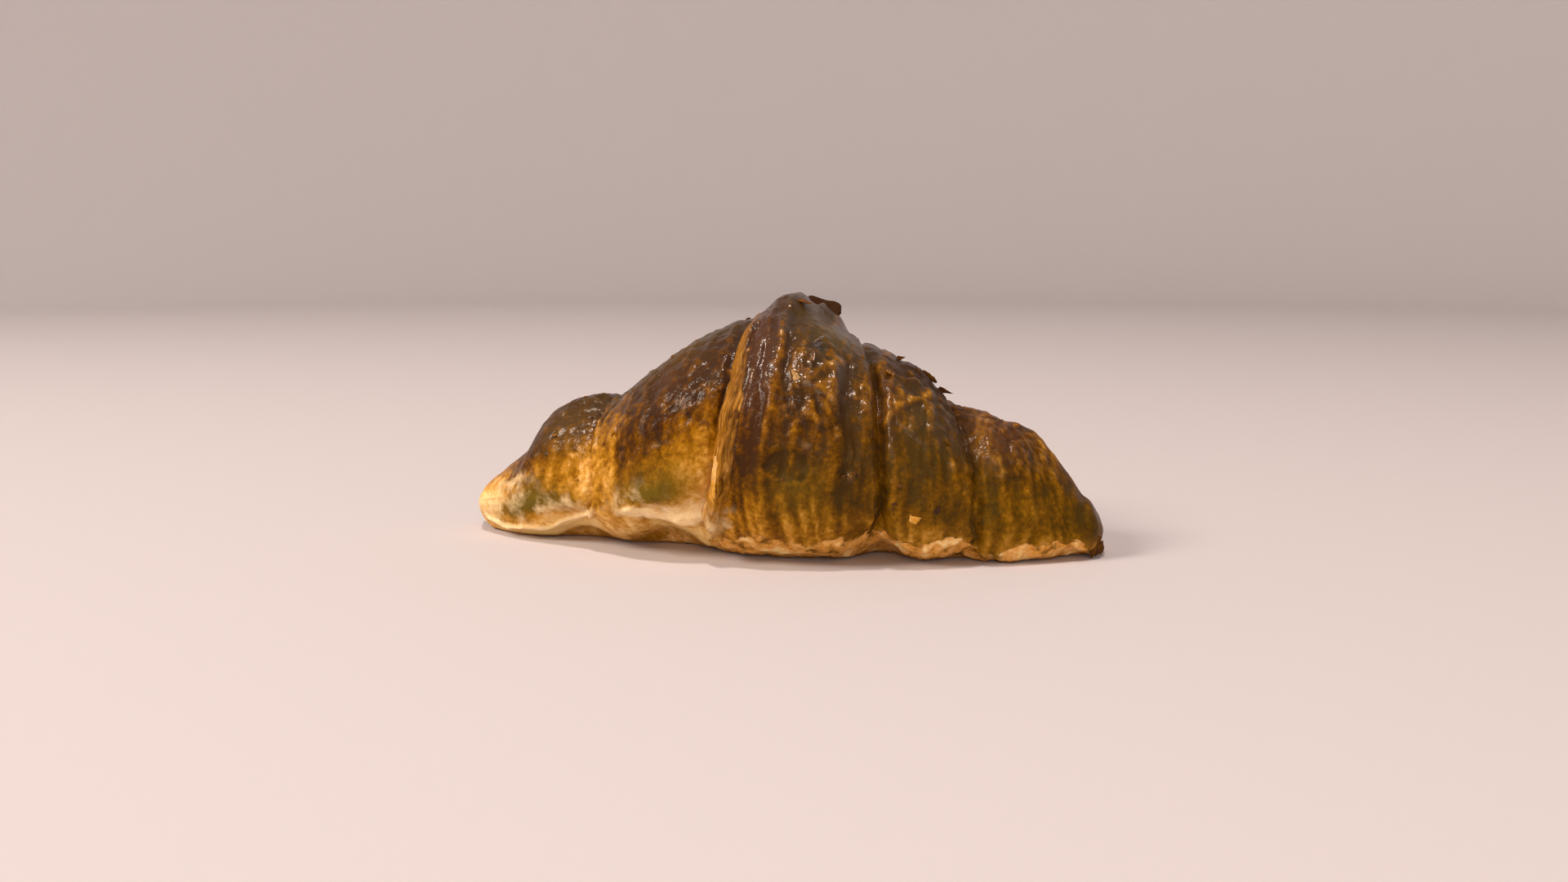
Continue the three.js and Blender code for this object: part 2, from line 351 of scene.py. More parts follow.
# the lips, grooves and swells beside every edge: exp(-(distance / width)^2) on its high or low side
def edgeForms(fromStart, toEnd, band, turn):
    total, farAway = fromStart * 0, 1e3
    aside = lips["ridgeShare"] + (1 - lips["ridgeShare"]) * smoothStep(np.abs(turn), *lips["ridgeTurn"])
    for n in range(len(layers["edges"])):
        rightSide = np.where(band == n + 1, fromStart, farAway)
        leftSide = np.where(band == n, toEnd, farAway)
        high, low = (rightSide, leftSide) if n < layers["centreBand"] else (leftSide, rightSide)
        total += lips["lip"][n] * np.exp(-(high / lips["lipWidth"]) ** 2)
        total = total - lips["groove"][n] * np.exp(-(low / lips["grooveWidth"]) ** 2)
        total += lips["swell"][n] * np.exp(-((low - lips["swellAt"]) / lips["swellWidth"]) ** 2)
    return total * aside


relief = {
    "lumps": (14, 1, 2, 0.5),  # space noise: size (mm), seed, layers, height (mm)
    "dents": (4, 3, 3, 0.42),
    "crumbs": (2.2, 65, 2, 0.9),  # on the bare foot
    "fibres": (2.4, 66, 3, 0.7),  # where the dough is stretched and creamy
    "hidden": (2.2, 2.8),  # turns (radians) over which the fine forms fade out under the roll
    "underFade": (2.5, 3.0), "underShare": 0.3,  # and what is left of the rest on the underside
    "streaks": [0.06, 0.12, 0.22, 0.42, 0.36, 0.36, 0.3],  # folds running round each band
    "sway": (9, 14, 41), "swayBy": 1.6,  # noise on the roll: length (mm), cells round, seed
    "folds": (2.6, 9, 42), "finerFolds": (2.6 / 2.3, 16, 43), "finerShare": 0.6,
    "lines": (14, 90, 44), "finerLines": (9, 180, 45),
    "cutGrain": (0.5, 30, 46), "finerGrain": (0.25, 50, 47), "grainRise": (0.3, 0.12),  # cut faces
    # fine lines along the left tip and over the left shoulder's crest, by mm left of the middle
    "lengthwise": 0.192, "tipShare": 0.45, "tipLines": (52, 66, 80, 87),
    "crestLines": (2, 8, 50, 60), "crestTurn": (0.2, 0.6),
    "blisters": [  # fields of small bubbles: how many, their radius and height
        area(-24, 38, 15, 34, count=240, radius=1.25, height=0.4, seed=5),
        area(14, 50, 8, 20, count=90, radius=1.5, height=0.6, seed=6),
        area(36, 42, 8, 28, count=90, radius=1.3, height=0.45, seed=7),
        area(57, 42, 8, 24, count=90, radius=1.4, height=0.55, seed=8),
        area(-48, 45, 10, 34, count=90, radius=1.4, height=0.4, seed=9),
        area(0, -60, 60, 60, count=500, radius=1.5, height=0.4, seed=10),
    ],
    "skins": [  # raised sheets of crust with torn outlines
        area(13.5, 54, 6, 17, rise=0.8, torn=0.55, seed=21),
        area(15, 80, 7.5, 16, rise=0.4, torn=0.6, seed=22),
        area(37, 40, 6, 18, rise=0.5, torn=0.6, seed=23),
        area(-30, -40, 8, 22, rise=0.5, torn=0.6, seed=24),
        area(30, -70, 9, 20, rise=0.5, torn=0.6, seed=25),
        area(57, 40, 6, 20, rise=0.5, torn=0.7, seed=26),
    ],
    "scars": [  # shallow torn hollows
        area(8.5, 90, 5, 6, rise=-0.5, torn=0.8, seed=31),
        area(-3, 31, 1.4, 3, rise=-1.4, torn=0.3, seed=32),
    ],
    "veins": area(35, 38, 10, 34, rise=0.55, size=7),
    "veinSpread": 4, "veinFrom": 0.35, "veinSeed": 53,
    "footStep": 0.5,
    "crumple": 1.6, "crumpleLevel": 0.35,
    "tornSize": 5, "tornLayers": 4, "tornEdge": (0.95, 1.05),
    # blisters crowd to the middle of their field; shares of radius, stretch round the roll, height
    "blisterSpread": 0.6, "blisterSize": (0.4, 1.3), "blisterStretch": (0.8, 2), "blisterRise": (0.4, 1),
    "chainSway": 0.5, "chainSwaySize": 3, "chainEnds": (0, 0.12, 0.85, 1),
    # how much each form adds to bake, and the blisters to gloss: veins, skins and scars are the crust's own
    # tone; the fold and crumple amounts are painted shade in their hollows and painted light on their
    # crests, and the blister amount is a painted highlight on their tops
    "toneAndShade": {"veins": -0.12, "crumple": -0.22, "skins": -0.04, "scars": 0.09,
             "folds": -0.5, "blisters": -0.12},
    "blisterGloss": 1.2,
    "wrinkles": [  # crumpled skin: height and size of the folds
        area(-24, 40, 17, 38, rise=0.95, size=4.5, seed=54),
        area(14, 42, 9, 22, rise=0.8, size=5, seed=55),
        area(40, 20, 16, 34, rise=0.7, size=5, seed=56),
        area(58, 38, 9, 26, rise=0.9, size=4.5, seed=57),
        area(-50, 20, 14, 34, rise=0.95, size=4, seed=58),
        area(0, -70, 60, 50, rise=0.7, size=6, seed=59),
    ],
}


# a line drawn over the crust: places (mm along, degrees round), rise, half width, and what it adds
# to bake, cream and gloss
def drawn(path, rise, width, **adds):
    return {"path": path, "rise": rise, "width": width, "adds": adds}


chains = [
    # the two tuck lines paint the fold lips pale: pale stretched dough with a painted highlight along each
    # lip
    drawn([(-83, 108), (-72, 119), (-65, 121), (-57.5, 135), (-50, 133), (-45, 121), (-41, 100)],
          0.8, 1.1, cream=1.1),
    drawn([(-32, 104), (-30, 115), (-27.5, 127), (-24, 131), (-20.5, 129), (-15.8, 123), (-8, 117)],
          1.1, 2.4, cream=1.8),
    drawn([(5, 34), (4.5, 50), (3.6, 69), (2, 87), (2.2, 108), (2.6, 120)], 0.7, 1.0, bake=-0.12),
    # these three grooves carry a darker bake: painted shade in the groove
    drawn([(1.6, 36), (0.6, 60), (-0.6, 80), (-1, 100)], -0.5, 1.3, bake=0.15),
    drawn([(8.5, 60), (7.5, 74), (6.8, 88), (7.6, 104)], -0.4, 1.2, bake=0.1),
    drawn([(19, 30), (20.5, 50), (19.5, 72), (20, 92)], -0.3, 1.2, bake=0.02),
    drawn([(23, 25), (25, 50), (24.3, 76), (23.8, 100)], 0.45, 1.4, bake=-0.08),
    drawn([(-2.3, 26), (-3.6, 45), (-3.9, 59), (-5.7, 74), (-9, 85), (-11.3, 101), (-11.5, 118)],
          -0.6, 0.5, cream=-0.2),
    drawn([(-2.6, 45), (-4.2, 66), (-6.8, 84), (-8.6, 100), (-9.6, 116)], 0.5, 0.6, cream=0.15),
    drawn([(-2, 12), (-0.6, 28), (0, 45), (-0.6, 60), (-1.4, 75)], 0.6, 1.6, bake=-0.1, gloss=0.4),
    drawn([(-75, 60), (-70, 70), (-66, 76)], 0.4, 1.6, cream=0.5),
    drawn([(28, 62), (32, 46), (37, 36), (40, 22)], 0.5, 0.8, bake=-0.2),
    drawn([(37, 36), (36, 22), (33, 12)], 0.4, 0.8, bake=-0.2),
    drawn([(2.6, 18), (3.6, 34), (3.2, 50), (2.4, 64)], 0.7, 1.2, gloss=0.4),
    drawn([(17, 34), (17.6, 48), (17, 60)], 0.6, 1.1, gloss=0.3),
    drawn([(26.5, 26), (29, 44), (30, 62), (30, 78)], 0.7, 1.0, gloss=0.5),
]


# distance from an area's middle in shares of its reach, roughened by noise: under 1 is inside
def tornReach(place, s, turn, points):
    r = np.hypot((s - place["at"]) / place["along"],
                 (turn - np.radians(place["turn"])) / np.radians(place["round"]))
    noise = cloudNoise(points, relief["tornSize"], place.get("seed", 0), relief["tornLayers"])
    return r + place.get("torn", 0) * noise


# bubbles scattered over a field: each adds height * (1 - rr)^2 within its radius
def blisterField(field, s, turn, across):
    rng, spread = np.random.default_rng(field["seed"]), relief["blisterSpread"]
    total = s * 0
    for n in range(field["count"]):
        at = field["at"] + rng.normal() * field["along"] * spread
        angle = np.radians(field["turn"] + rng.normal() * field["round"] * spread)
        size = field["radius"] * rng.uniform(*relief["blisterSize"])
        stretch = rng.uniform(*relief["blisterStretch"])
        high = field["height"] * rng.uniform(*relief["blisterRise"])
        r = ((s - at) / size) ** 2 + ((turn - angle) * across / (size * stretch)) ** 2
        total = np.maximum(total, high * np.maximum(1 - r, 0) ** 2)
    return total


# the value of each band; a cut face takes the even one of the two beside it
def byBand(values, band):
    return np.array(values)[np.clip(np.round(band), 0, len(values) - 1).astype(int)]


# folds round the roll: noise that is short along it and long round it, at a swaying place
def roundFolds(s, lap):
    swaying = s + relief["swayBy"] * rollNoise(s, lap, *relief["sway"])
    finer = rollNoise(swaying, lap, *relief["finerFolds"])
    return rollNoise(swaying, lap, *relief["folds"]) + relief["finerShare"] * finer


# lines that run along the left tip and along the left shoulder's crest
def lengthLines(s, turn, lap):
    tip = relief["tipShare"] * within(-s, *relief["tipLines"])
    crest = (1 - smoothStep(turn, *relief["crestTurn"])) * within(-s, *relief["crestLines"])
    lines = rollNoise(s, lap, *relief["lines"])
    lines += relief["finerShare"] * rollNoise(s, lap, *relief["finerLines"])
    return relief["lengthwise"] * np.maximum(tip, crest) * lines


# every chain's line, rise * exp(-(distance / width)^2) fading at both ends, and what it adds
def drawChains(s, turn, across, points, masks):
    swaying = s + rough(points, relief["chainSwaySize"], 51, 3, relief["chainSway"])
    leaning = turn + rough(points, relief["chainSwaySize"], 52, 3, relief["chainSway"]) / across
    height = 0
    for chain in chains:
        distance, share = fromChain(chain["path"], swaying, leaning, across)
        line = np.exp(-(distance / chain["width"]) ** 2) * within(share, *relief["chainEnds"])
        height += chain["rise"] * line
        for key, amount in chain["adds"].items():
            masks[key] += amount * line
    return height


# a net of veins and the crumpled skins: ridges where noise crosses 0, level - |noise|
def crumpledSkin(s, turn, cut, points, masks):
    net, toneAndShade = relief["veins"], relief["toneAndShade"]
    inside = np.exp(-tornReach(net, s, turn, points) ** 2)
    ridges = 1 - np.abs(cloudNoise(points, net["size"], relief["veinSeed"], 2)) * relief["veinSpread"]
    veins = smoothStep(ridges, relief["veinFrom"], 1) * inside
    height = net["rise"] * veins
    masks["bake"] += toneAndShade["veins"] * veins
    for field in relief["wrinkles"]:
        inside = np.exp(-tornReach(field, s, turn, points) ** 2)
        crumple = relief["crumpleLevel"] - np.abs(cloudNoise(points, field["size"], field["seed"], 3))
        height += relief["crumple"] * field["rise"] * crumple * inside * (1 - cut)
        # painted shade in the creases of the crumpled skin and painted light on its ridges
        masks["bake"] += toneAndShade["crumple"] * crumple * inside
    return height


# everything finer than the layers, in mm outwards, and the masks that the finish reads
def fineRelief(s, turn, band, cut, fromStart, toEnd, points):
    across = (station("ridge", s) + station("front", s)) * 0.5
    lap = turn / fullTurn + 1
    showing = 1 - smoothStep(np.abs(turn), *relief["hidden"])
    masks = {"bake": s * 0, "cream": s * 0, "gloss": s * 0}
    toneAndShade = relief["toneAndShade"]
    folds = byBand(relief["streaks"], band) * roundFolds(s, lap)
    blisters = sum(blisterField(field, s, turn, across) for field in relief["blisters"])
    height = rough(points, *relief["lumps"]) + rough(points, *relief["dents"])
    height += (edgeForms(fromStart, toEnd, band, turn) + folds + lengthLines(s, turn, lap)) * showing
    height += blisters * (1 - cut)
    height += drawChains(s, turn, across, points, masks)
    height += crumpledSkin(s, turn, cut, points, masks)
    for kind in ("skins", "scars"):
        for patch in relief[kind]:
            inside = 1 - smoothStep(tornReach(patch, s, turn, points), *relief["tornEdge"])
            height += patch["rise"] * inside
            masks["bake"] += toneAndShade[kind] * inside
    # painted shade in the fold hollows, painted light on the fold crests and a painted highlight on the
    # blister tops
    masks["bake"] += toneAndShade["folds"] * folds + toneAndShade["blisters"] * blisters
    masks["gloss"] += relief["blisterGloss"] * blisters
    coarse, fine = relief["grainRise"]
    grain = rollNoise(s, lap, *relief["cutGrain"]) * coarse + rollNoise(s, lap, *relief["finerGrain"]) * fine
    return height + grain * cut * showing, masks


# four-sided faces between the rows of numbered points, closed round each row
def ringFaces(number):
    follow = np.roll(number, -1, axis=1)
    return np.stack([number[:-1], number[1:], follow[1:], follow[:-1]], -1).reshape(-1, 4)


# closed shells from grids of points, numbered shell, row, column, whose first and last rows are
# single points; maps give each corner of a face its place from the same three numbers
def shellMesh(name, grids, attributes, maps):
    shellCount, rowCount, columnCount = grids.shape[:3]
    inner = (rowCount - 2) * columnCount
    middle = lambda values: values[:, 1:-1].reshape(shellCount, inner, *values.shape[3:])
    pack = lambda values: np.concatenate([values[:, 0, :1], middle(values), values[:, -1, :1]], 1)
    number = np.arange(inner).reshape(rowCount - 2, columnCount) + 1
    follow = np.roll(number, -1, axis=1)
    quads = ringFaces(number).ravel()
    startFan = np.stack([number[0] * 0, number[0], follow[0]], -1).ravel()
    endFan = np.stack([number[-1] * 0 + inner + 1, follow[-1], number[-1]], -1).ravel()
    oneShell = np.concatenate([startFan, quads, endFan])
    shellOf = np.repeat(np.arange(shellCount), len(oneShell))
    local = np.tile(oneShell, shellCount)
    sizes = np.concatenate([np.full(columnCount, 3), np.full(len(quads) // 4, 4), np.full(columnCount, 3)])
    faceColumn = np.tile(np.arange(len(sizes)) % columnCount, shellCount)
    sizes = np.tile(sizes, shellCount)
    mesh = bpy.data.meshes.new(name)
    mesh.vertices.add(shellCount * (inner + 2))
    mesh.vertices.foreach_set("co", (pack(grids) * mm).ravel().astype(np.float32))
    mesh.loops.add(len(local))
    mesh.loops.foreach_set("vertex_index", (local + shellOf * (inner + 2)).astype(np.int32))
    mesh.polygons.add(len(sizes))
    mesh.polygons.foreach_set("loop_start", (np.cumsum(sizes) - sizes).astype(np.int32))
    mesh.polygons.foreach_set("use_smooth", np.ones(len(sizes), bool))
    mesh.update(calc_edges=True)
    for key, values in attributes.items():
        layer = mesh.attributes.new(key, "FLOAT", "POINT")
        layer.data.foreach_set("value", pack(values).ravel().astype(np.float32))
    # the last column of faces reads one column past the end, and the poles read half a column on
    row = np.where(local == 0, 0, np.where(local > inner, rowCount - 1, (local - 1) // columnCount + 1))
    column = ((local - 1) % columnCount).astype(float)
    ownColumn = np.repeat(faceColumn, sizes)
    column[(column == 0) & (ownColumn == columnCount - 1)] = columnCount
    pole = (row == 0) | (row == rowCount - 1)
    column[pole] = ownColumn[pole] + 0.5
    for key, mapping in maps.items():
        layer = mesh.uv_layers.new(name=key)
        layer.data.foreach_set("uv", mapping(shellOf, row, column).astype(np.float32).ravel())
    return mesh


# an object for the mesh, in the scene, with its finish
def newPiece(name, mesh, material):
    piece = bpy.data.objects.new(name, mesh)
    bpy.context.scene.collection.objects.link(piece)
    mesh.materials.append(material)
    return piece


paint = {
    # bake from 0, pale dough, to 1, dark brown, at these turns for each band
    "angles": [-150, -110, -60, -20, 20, 45, 60, 72, 85, 98, 112, 128],
    "bake": [
        [0.4, 0.42, 0.65, 0.9, 0.92, 0.8, 0.64, 0.46, 0.36, 0.42, 0.42, 0.3],
        [0.4, 0.45, 0.7, 0.9, 0.98, 0.92, 0.76, 0.56, 0.38, 0.36, 0.34, 0.28],
        [0.4, 0.5, 0.75, 0.95, 0.98, 0.9, 0.83, 0.74, 0.58, 0.43, 0.25, 0.3],
        [0.5, 0.6, 0.8, 0.95, 0.97, 0.95, 0.93, 0.9, 0.85, 0.76, 0.58, 0.5],
        [0.5, 0.6, 0.78, 0.93, 0.94, 0.92, 0.89, 0.86, 0.8, 0.71, 0.52, 0.46],
        [0.5, 0.55, 0.72, 0.86, 0.86, 0.86, 0.85, 0.84, 0.79, 0.69, 0.5, 0.45],
        [0.45, 0.5, 0.65, 0.8, 0.8, 0.81, 0.82, 0.8, 0.76, 0.66, 0.5, 0.45],
    ],
    "cutBake": [0.75, 0.6, 0.85, 0.8, 0.72],  # on the cut faces of all edges but the first
    "cutShow": [0, 0.1, 1, 0, 0, 0],  # how bare each cut face is
    "cutRidgeShare": 0.2, "cutTurn": (0.2, 1.1),  # what is left of it over the ridge
    "washTorn": {"torn": 0.3, "seed": 62},
    # soft washes: how much is added to bake, cream, painted olive reflection, painted plum sheen and gloss
    "washes": [
        area(-68, 80, 8, 20, cream=0.36),
        area(-79, 90, 7, 26, cream=0.8),
        area(-82, 40, 14, 64, bake=-0.46),
        area(-54, 24, 7, 26, bake=0.12),
        area(-62, 97, 11, 13, olive=2, bake=0.48),
        area(-60, 112, 14, 12, cream=0.3),
        area(-52, 104, 8, 12, cream=0.35, olive=0.6),
        area(-24, 97, 9, 13, olive=1.7, bake=0.14),
        area(-31, 100, 6, 10, cream=0.4),
        area(-18, 120, 10, 9, cream=0.9),
        area(-38, 76, 5, 26, bake=-0.1),
        area(-12, 116, 4, 10, cream=0.9),
        area(-51, 36, 9, 30, plum=0.5, olive=0.6, gloss=-0.3),
        area(-64, 68, 6, 18, bake=0.2),
        area(-48, 84, 6, 14, bake=0.12),
        # painted light: these two lighten the crust in the shade under the left arm and the left shoulder
        area(-60, 140, 20, 16, bake=-0.42, cream=0.35),
        area(-22, 142, 14, 14, bake=-0.25),
        area(-22, 38, 7, 18, plum=0.5, bake=0.06),
        area(-24, 42, 13, 24, gloss=-0.4),
        area(-27, 76, 4.5, 14, bake=0.1),
        area(-25, 62, 7.5, 15, bake=0.16),
        area(-4, 4, 44, 28, bake=0.16),
        area(-41.5, 68, 7, 22, bake=-0.34),
        area(-13, 98, 5, 18, bake=-0.26),
        area(3, 94, 6, 16, bake=0.13),
        area(-17, 78, 5, 16, bake=-0.16),
        area(38, 24, 13, 28, gloss=-0.45),
        area(1, 74, 5, 26, bake=0.12),
        area(0, 44, 4, 34, plum=0.9),
        area(29, 46, 3, 30, plum=0.6),
        area(54, 38, 7, 24, plum=1.1, bake=0.1),
        area(32, 44, 9, 34, bake=0.1),
        area(14, 16, 9, 22, olive=0.7),
        area(-27, 10, 15, 26, olive=0.8),
        area(48, 4, 22, 26, gloss=-0.5),
        area(70, 30, 14, 60, gloss=-0.8, bake=-0.08),
        area(10, 100, 9, 14, olive=0.7),
    ],
    # the glaze ends along a ragged line this high above the foot (mm at places along the roll)
    "footAt": [-90, -18, -13, -5, 2, 6, 12, 16, 20, 25, 28, 32, 36, 43, 48, 54, 57, 61, 68, 73, 78, 81, 83],
    "footHigh": [-4, -4, 4, 6, 7, 5.2, 5, 7, 6, 4.6, 3.2, 4, 5.6, 5.4, 2.8, 2.2, 3.8, 4.8, 4.4, 3.2, 1.6,
                 -2.6, -4],
    "backHigh": 3,  # and this high at the back
    "footTorn": [(9, 61, 3, 2.2), (2.8, 64, 4, 2.6)], "footSoft": 0.15, "footTurn": 1.2,
    # the cut face's pale torn layers end this far (mm) along the roll at these turns
    "cutAngles": [-120, -60, 0, 30, 60, 75, 86, 100, 120],
    "cutEnd": [2.2, -1, -4.4, -4.2, -3.2, -3.8, -4.4, -5.6, -8],
    "cutTorn": (3, 63, 4, 0.9), "cutSoft": 0.25,
    "gloss": [0.85, 0.08], "glossTurn": (0.8, 1.25),  # the egg glaze over the top and on the sides
    "streaky": [0.25, 0.3, 0.3, 1, 0.9, 0.9, 0.9], "streakEnds": (-87, -80, 75, 81),
    "tipLines": (-62, -52),  # the streaks turn lengthwise towards the left tip
    # painted shade: hollows in the fine relief are made darker and bumps lighter by these amounts
    "hollowShade": 0.3, "hollowReach": 3,  # how much darker a hollow is for each mm that it lies back
    "hollowLimit": 0.4,
    # painted olive reflection over the right side, from these places and turns
    "rightOliveReflection": 0.55, "oliveReflectionFrom": (-5, 45), "oliveReflectionTurn": (-0.2, 1.2),
    "underside": (0.2, 1.2),  # mm above the floor
    "girth": 190, "mapScale": 0.01, "mapMargin": 0.004,
}


# the value of each cut face's own edge
def byEdge(values, band):
    return np.array(values)[np.minimum(band.astype(int), len(values) - 1)]


# bake at each turn: the band's own curve round the roll, and one value on each cut face
def bakeMap(turn, band, cut):
    whole = band.astype(int)
    curves = np.stack([roundTheRoll(paint["angles"], row, turn) for row in paint["bake"]])
    bake = np.take_along_axis(curves, whole[None], 0)[0]
    return np.where((cut > 0) & (whole > 0), byEdge(paint["cutBake"], band - 1), bake)


# the torn edge of the layers stays bare from the centre edge's face to a line short of the glaze
def cutBand(s, turn, band, points):
    line = roundTheRoll(paint["cutAngles"], paint["cutEnd"], turn) + rough(points, *paint["cutTorn"])
    return smoothStep(line - s, -paint["cutSoft"], paint["cutSoft"]) * (band == layers["centreBand"])


# 0 on the glazed crust, 1 on the bare dough below the ragged end of the glaze
def bareMap(s, turn, points):
    torn = sum(rough(points, *noise) for noise in paint["footTorn"])
    line = np.where(turn > 0, throughPoints(paint["footAt"], paint["footHigh"], s), paint["backHigh"])
    below = smoothStep(line + torn + archLift(s) - points[..., 2], -paint["footSoft"], paint["footSoft"])
    return below * (np.abs(turn) > paint["footTurn"])


# how far each point stands out over the mean of four points a few rows and columns away
def standsOut(height, reach):
    around = sum(np.roll(height, step, axis) for step in (-reach, reach) for axis in (0, 1)) / 4
    return height - around


# all that the finish reads at each point: bake with the tones and painted shade of the fine forms, painted
# shade in the hollows and soft washes, gloss from top to sides, and where the dough is cut, bare or
# underneath
def crustMasks(s, turn, band, cut, bare, fine, masks, plain, points):
    top, side = paint["gloss"]
    gloss = side + (top - side) * (1 - smoothStep(np.abs(turn), *paint["glossTurn"]))
    limit, ridgeShare = paint["hollowLimit"], paint["cutRidgeShare"]
    # painted shade in the hollows of the fine relief and painted light on its bumps
    hollowShade = np.clip(standsOut(fine, paint["hollowReach"]), -limit, limit) * (1 - cut)
    read = {"bake": bakeMap(turn, band, cut) + masks["bake"] - paint["hollowShade"] * hollowShade,
            "cream": masks["cream"], "olive": s * 0, "plum": s * 0, "gloss": gloss + masks["gloss"]}
    for wash in paint["washes"]:
        soft = np.exp(-tornReach({**wash, **paint["washTorn"]}, s, turn, plain) ** 2)
        for key in read:
            read[key] += wash.get(key, 0) * soft
    # painted olive reflection over the right side of the roll
    rightSide = smoothStep(s, *paint["oliveReflectionFrom"]) * smoothStep(turn, *paint["oliveReflectionTurn"])
    read["olive"] += paint["rightOliveReflection"] * rightSide
    shown = np.maximum(cut * byEdge(paint["cutShow"], band), cutBand(s, turn, band, plain))
    read["cut"] = shown * (ridgeShare + (1 - ridgeShare) * smoothStep(turn, *paint["cutTurn"]))
    read["streaky"] = byBand(paint["streaky"], band) * within(s, *paint["streakEnds"])
    read["bare"] = bare
    read["under"] = 1 - smoothStep(points[..., 2], *paint["underside"])
    read["lengthwise"] = 1 - smoothStep(s, *paint["tipLines"])
    return read


# the crust: layered rows of points pushed out by the fine relief and moved to the middle of the
# frame's box, with its masks and maps
def buildCrust(material):
    columnTurn = columnTurns()[None, :]
    s, offset, band, cut, fromStart, toEnd = layeredRows(columnTurn)
    turn = np.broadcast_to(columnTurn, s.shape)
    plain = crustPoint(s, turn, offset)
    fine, masks = fineRelief(s, turn, band, cut, fromStart, toEnd, plain)
    bare = bareMap(s, turn, plain)
    fine += (rough(plain, *relief["crumbs"]) - relief["footStep"]) * bare
    fine += rough(plain, *relief["fibres"]) * np.clip(masks["cream"], 0, 1)
    lost = 1 - relief["underShare"]
    fine = fine * (1 - lost * smoothStep(np.abs(turn), *relief["underFade"]))
    points = crustPoint(s, turn, offset + fine)
    low, high = plain.reshape(-1, 3).min(0), plain.reshape(-1, 3).max(0)
    cadMiddle = np.array(cadBox[0] + cadBox[1]) / 2 / mm
    shift = np.append(cadMiddle[:2] - (low + high)[:2] / 2, 0)
    points += shift
    attributes = crustMasks(s, turn, band, cut, bare, fine, masks, plain, points)
    gap = np.linalg.norm(np.diff(points, axis=0), axis=-1).mean(1)
    lengthAt = np.concatenate([[0], np.cumsum(gap)])
    alongShare, roundShare = lengthAt / lengthAt[-1], 1 / layers["columns"]
    girth, scale, margin = paint["girth"], paint["mapScale"], paint["mapMargin"]
    maps = {
        "rollMap": lambda n, r, c: np.stack([lengthAt[r], c * roundShare * girth], -1) * scale,
        "OFBake": lambda n, r, c: np.stack([alongShare[r], c * roundShare], -1) * (1 - 2 * margin) + margin,
    }
    # turns run from the back over the ridge to the front, so taking the columns in reverse
    # makes the faces look out
    flipped = {key: values[None, :, ::-1] for key, values in attributes.items()}
    mesh = shellMesh("croissant_crust", points[None, :, ::-1], flipped, maps)
    surface = {"s": s, "turn": turn, "points": points, "shift": shift}
    return newPiece("croissant_crust", mesh, material), surface


print("croissant: finish")


# screen values from 0 to 255 as the linear colour that nodes take
def fromScreen(*rgb):
    share = np.array(rgb) / 255
    linear = np.where(share <= 0.04045, share / 12.92, ((share + 0.055) / 1.055) ** 2.4)
    return (*linear.tolist(), 1.0)


# links a socket to another node's output, or sets its value
def feed(tree, socket, value):
    if isinstance(value, bpy.types.NodeSocket):
        tree.links.new(value, socket)
    else:
        socket.default_value = value


# a node with its own settings, its inputs fed by name
def addNode(tree, kind, settings=None, **values):
    node = tree.nodes.new(kind)
    for key, value in (settings or {}).items():
        setattr(node, key, value)
    for key, value in values.items():
        feed(tree, node.inputs[key], value)
    return node


# one sum of a and b, and of c where the operation takes three
def mathNode(tree, operation, a, b, c=0.5):
    node = addNode(tree, "ShaderNodeMath", {"operation": operation})
    for socket, value in zip(node.inputs, (a, b, c)):
        feed(tree, socket, value)
    return node.outputs[0]


# colour a gives way to colour b by a share; sockets 6 and 7 take the colours
def mixColours(tree, share, a, b):
    node = addNode(tree, "ShaderNodeMix", {"data_type": "RGBA", "clamp_factor": True})
    for socket, value in zip((node.inputs[0], node.inputs[6], node.inputs[7]), (share, a, b)):
        feed(tree, socket, value)
    return node.outputs[2]


# a colour ramp read at a share: stops are the share and its screen colour
def rampOf(tree, share, stops):
    node = addNode(tree, "ShaderNodeValToRGB", None, Fac=share)
    elements = node.color_ramp.elements
    while len(elements) < len(stops):
        elements.new(0.5)
    for element, (place, *colour) in zip(elements, stops):
        element.position, element.color = place, fromScreen(*colour)
    return node.outputs["Color"]


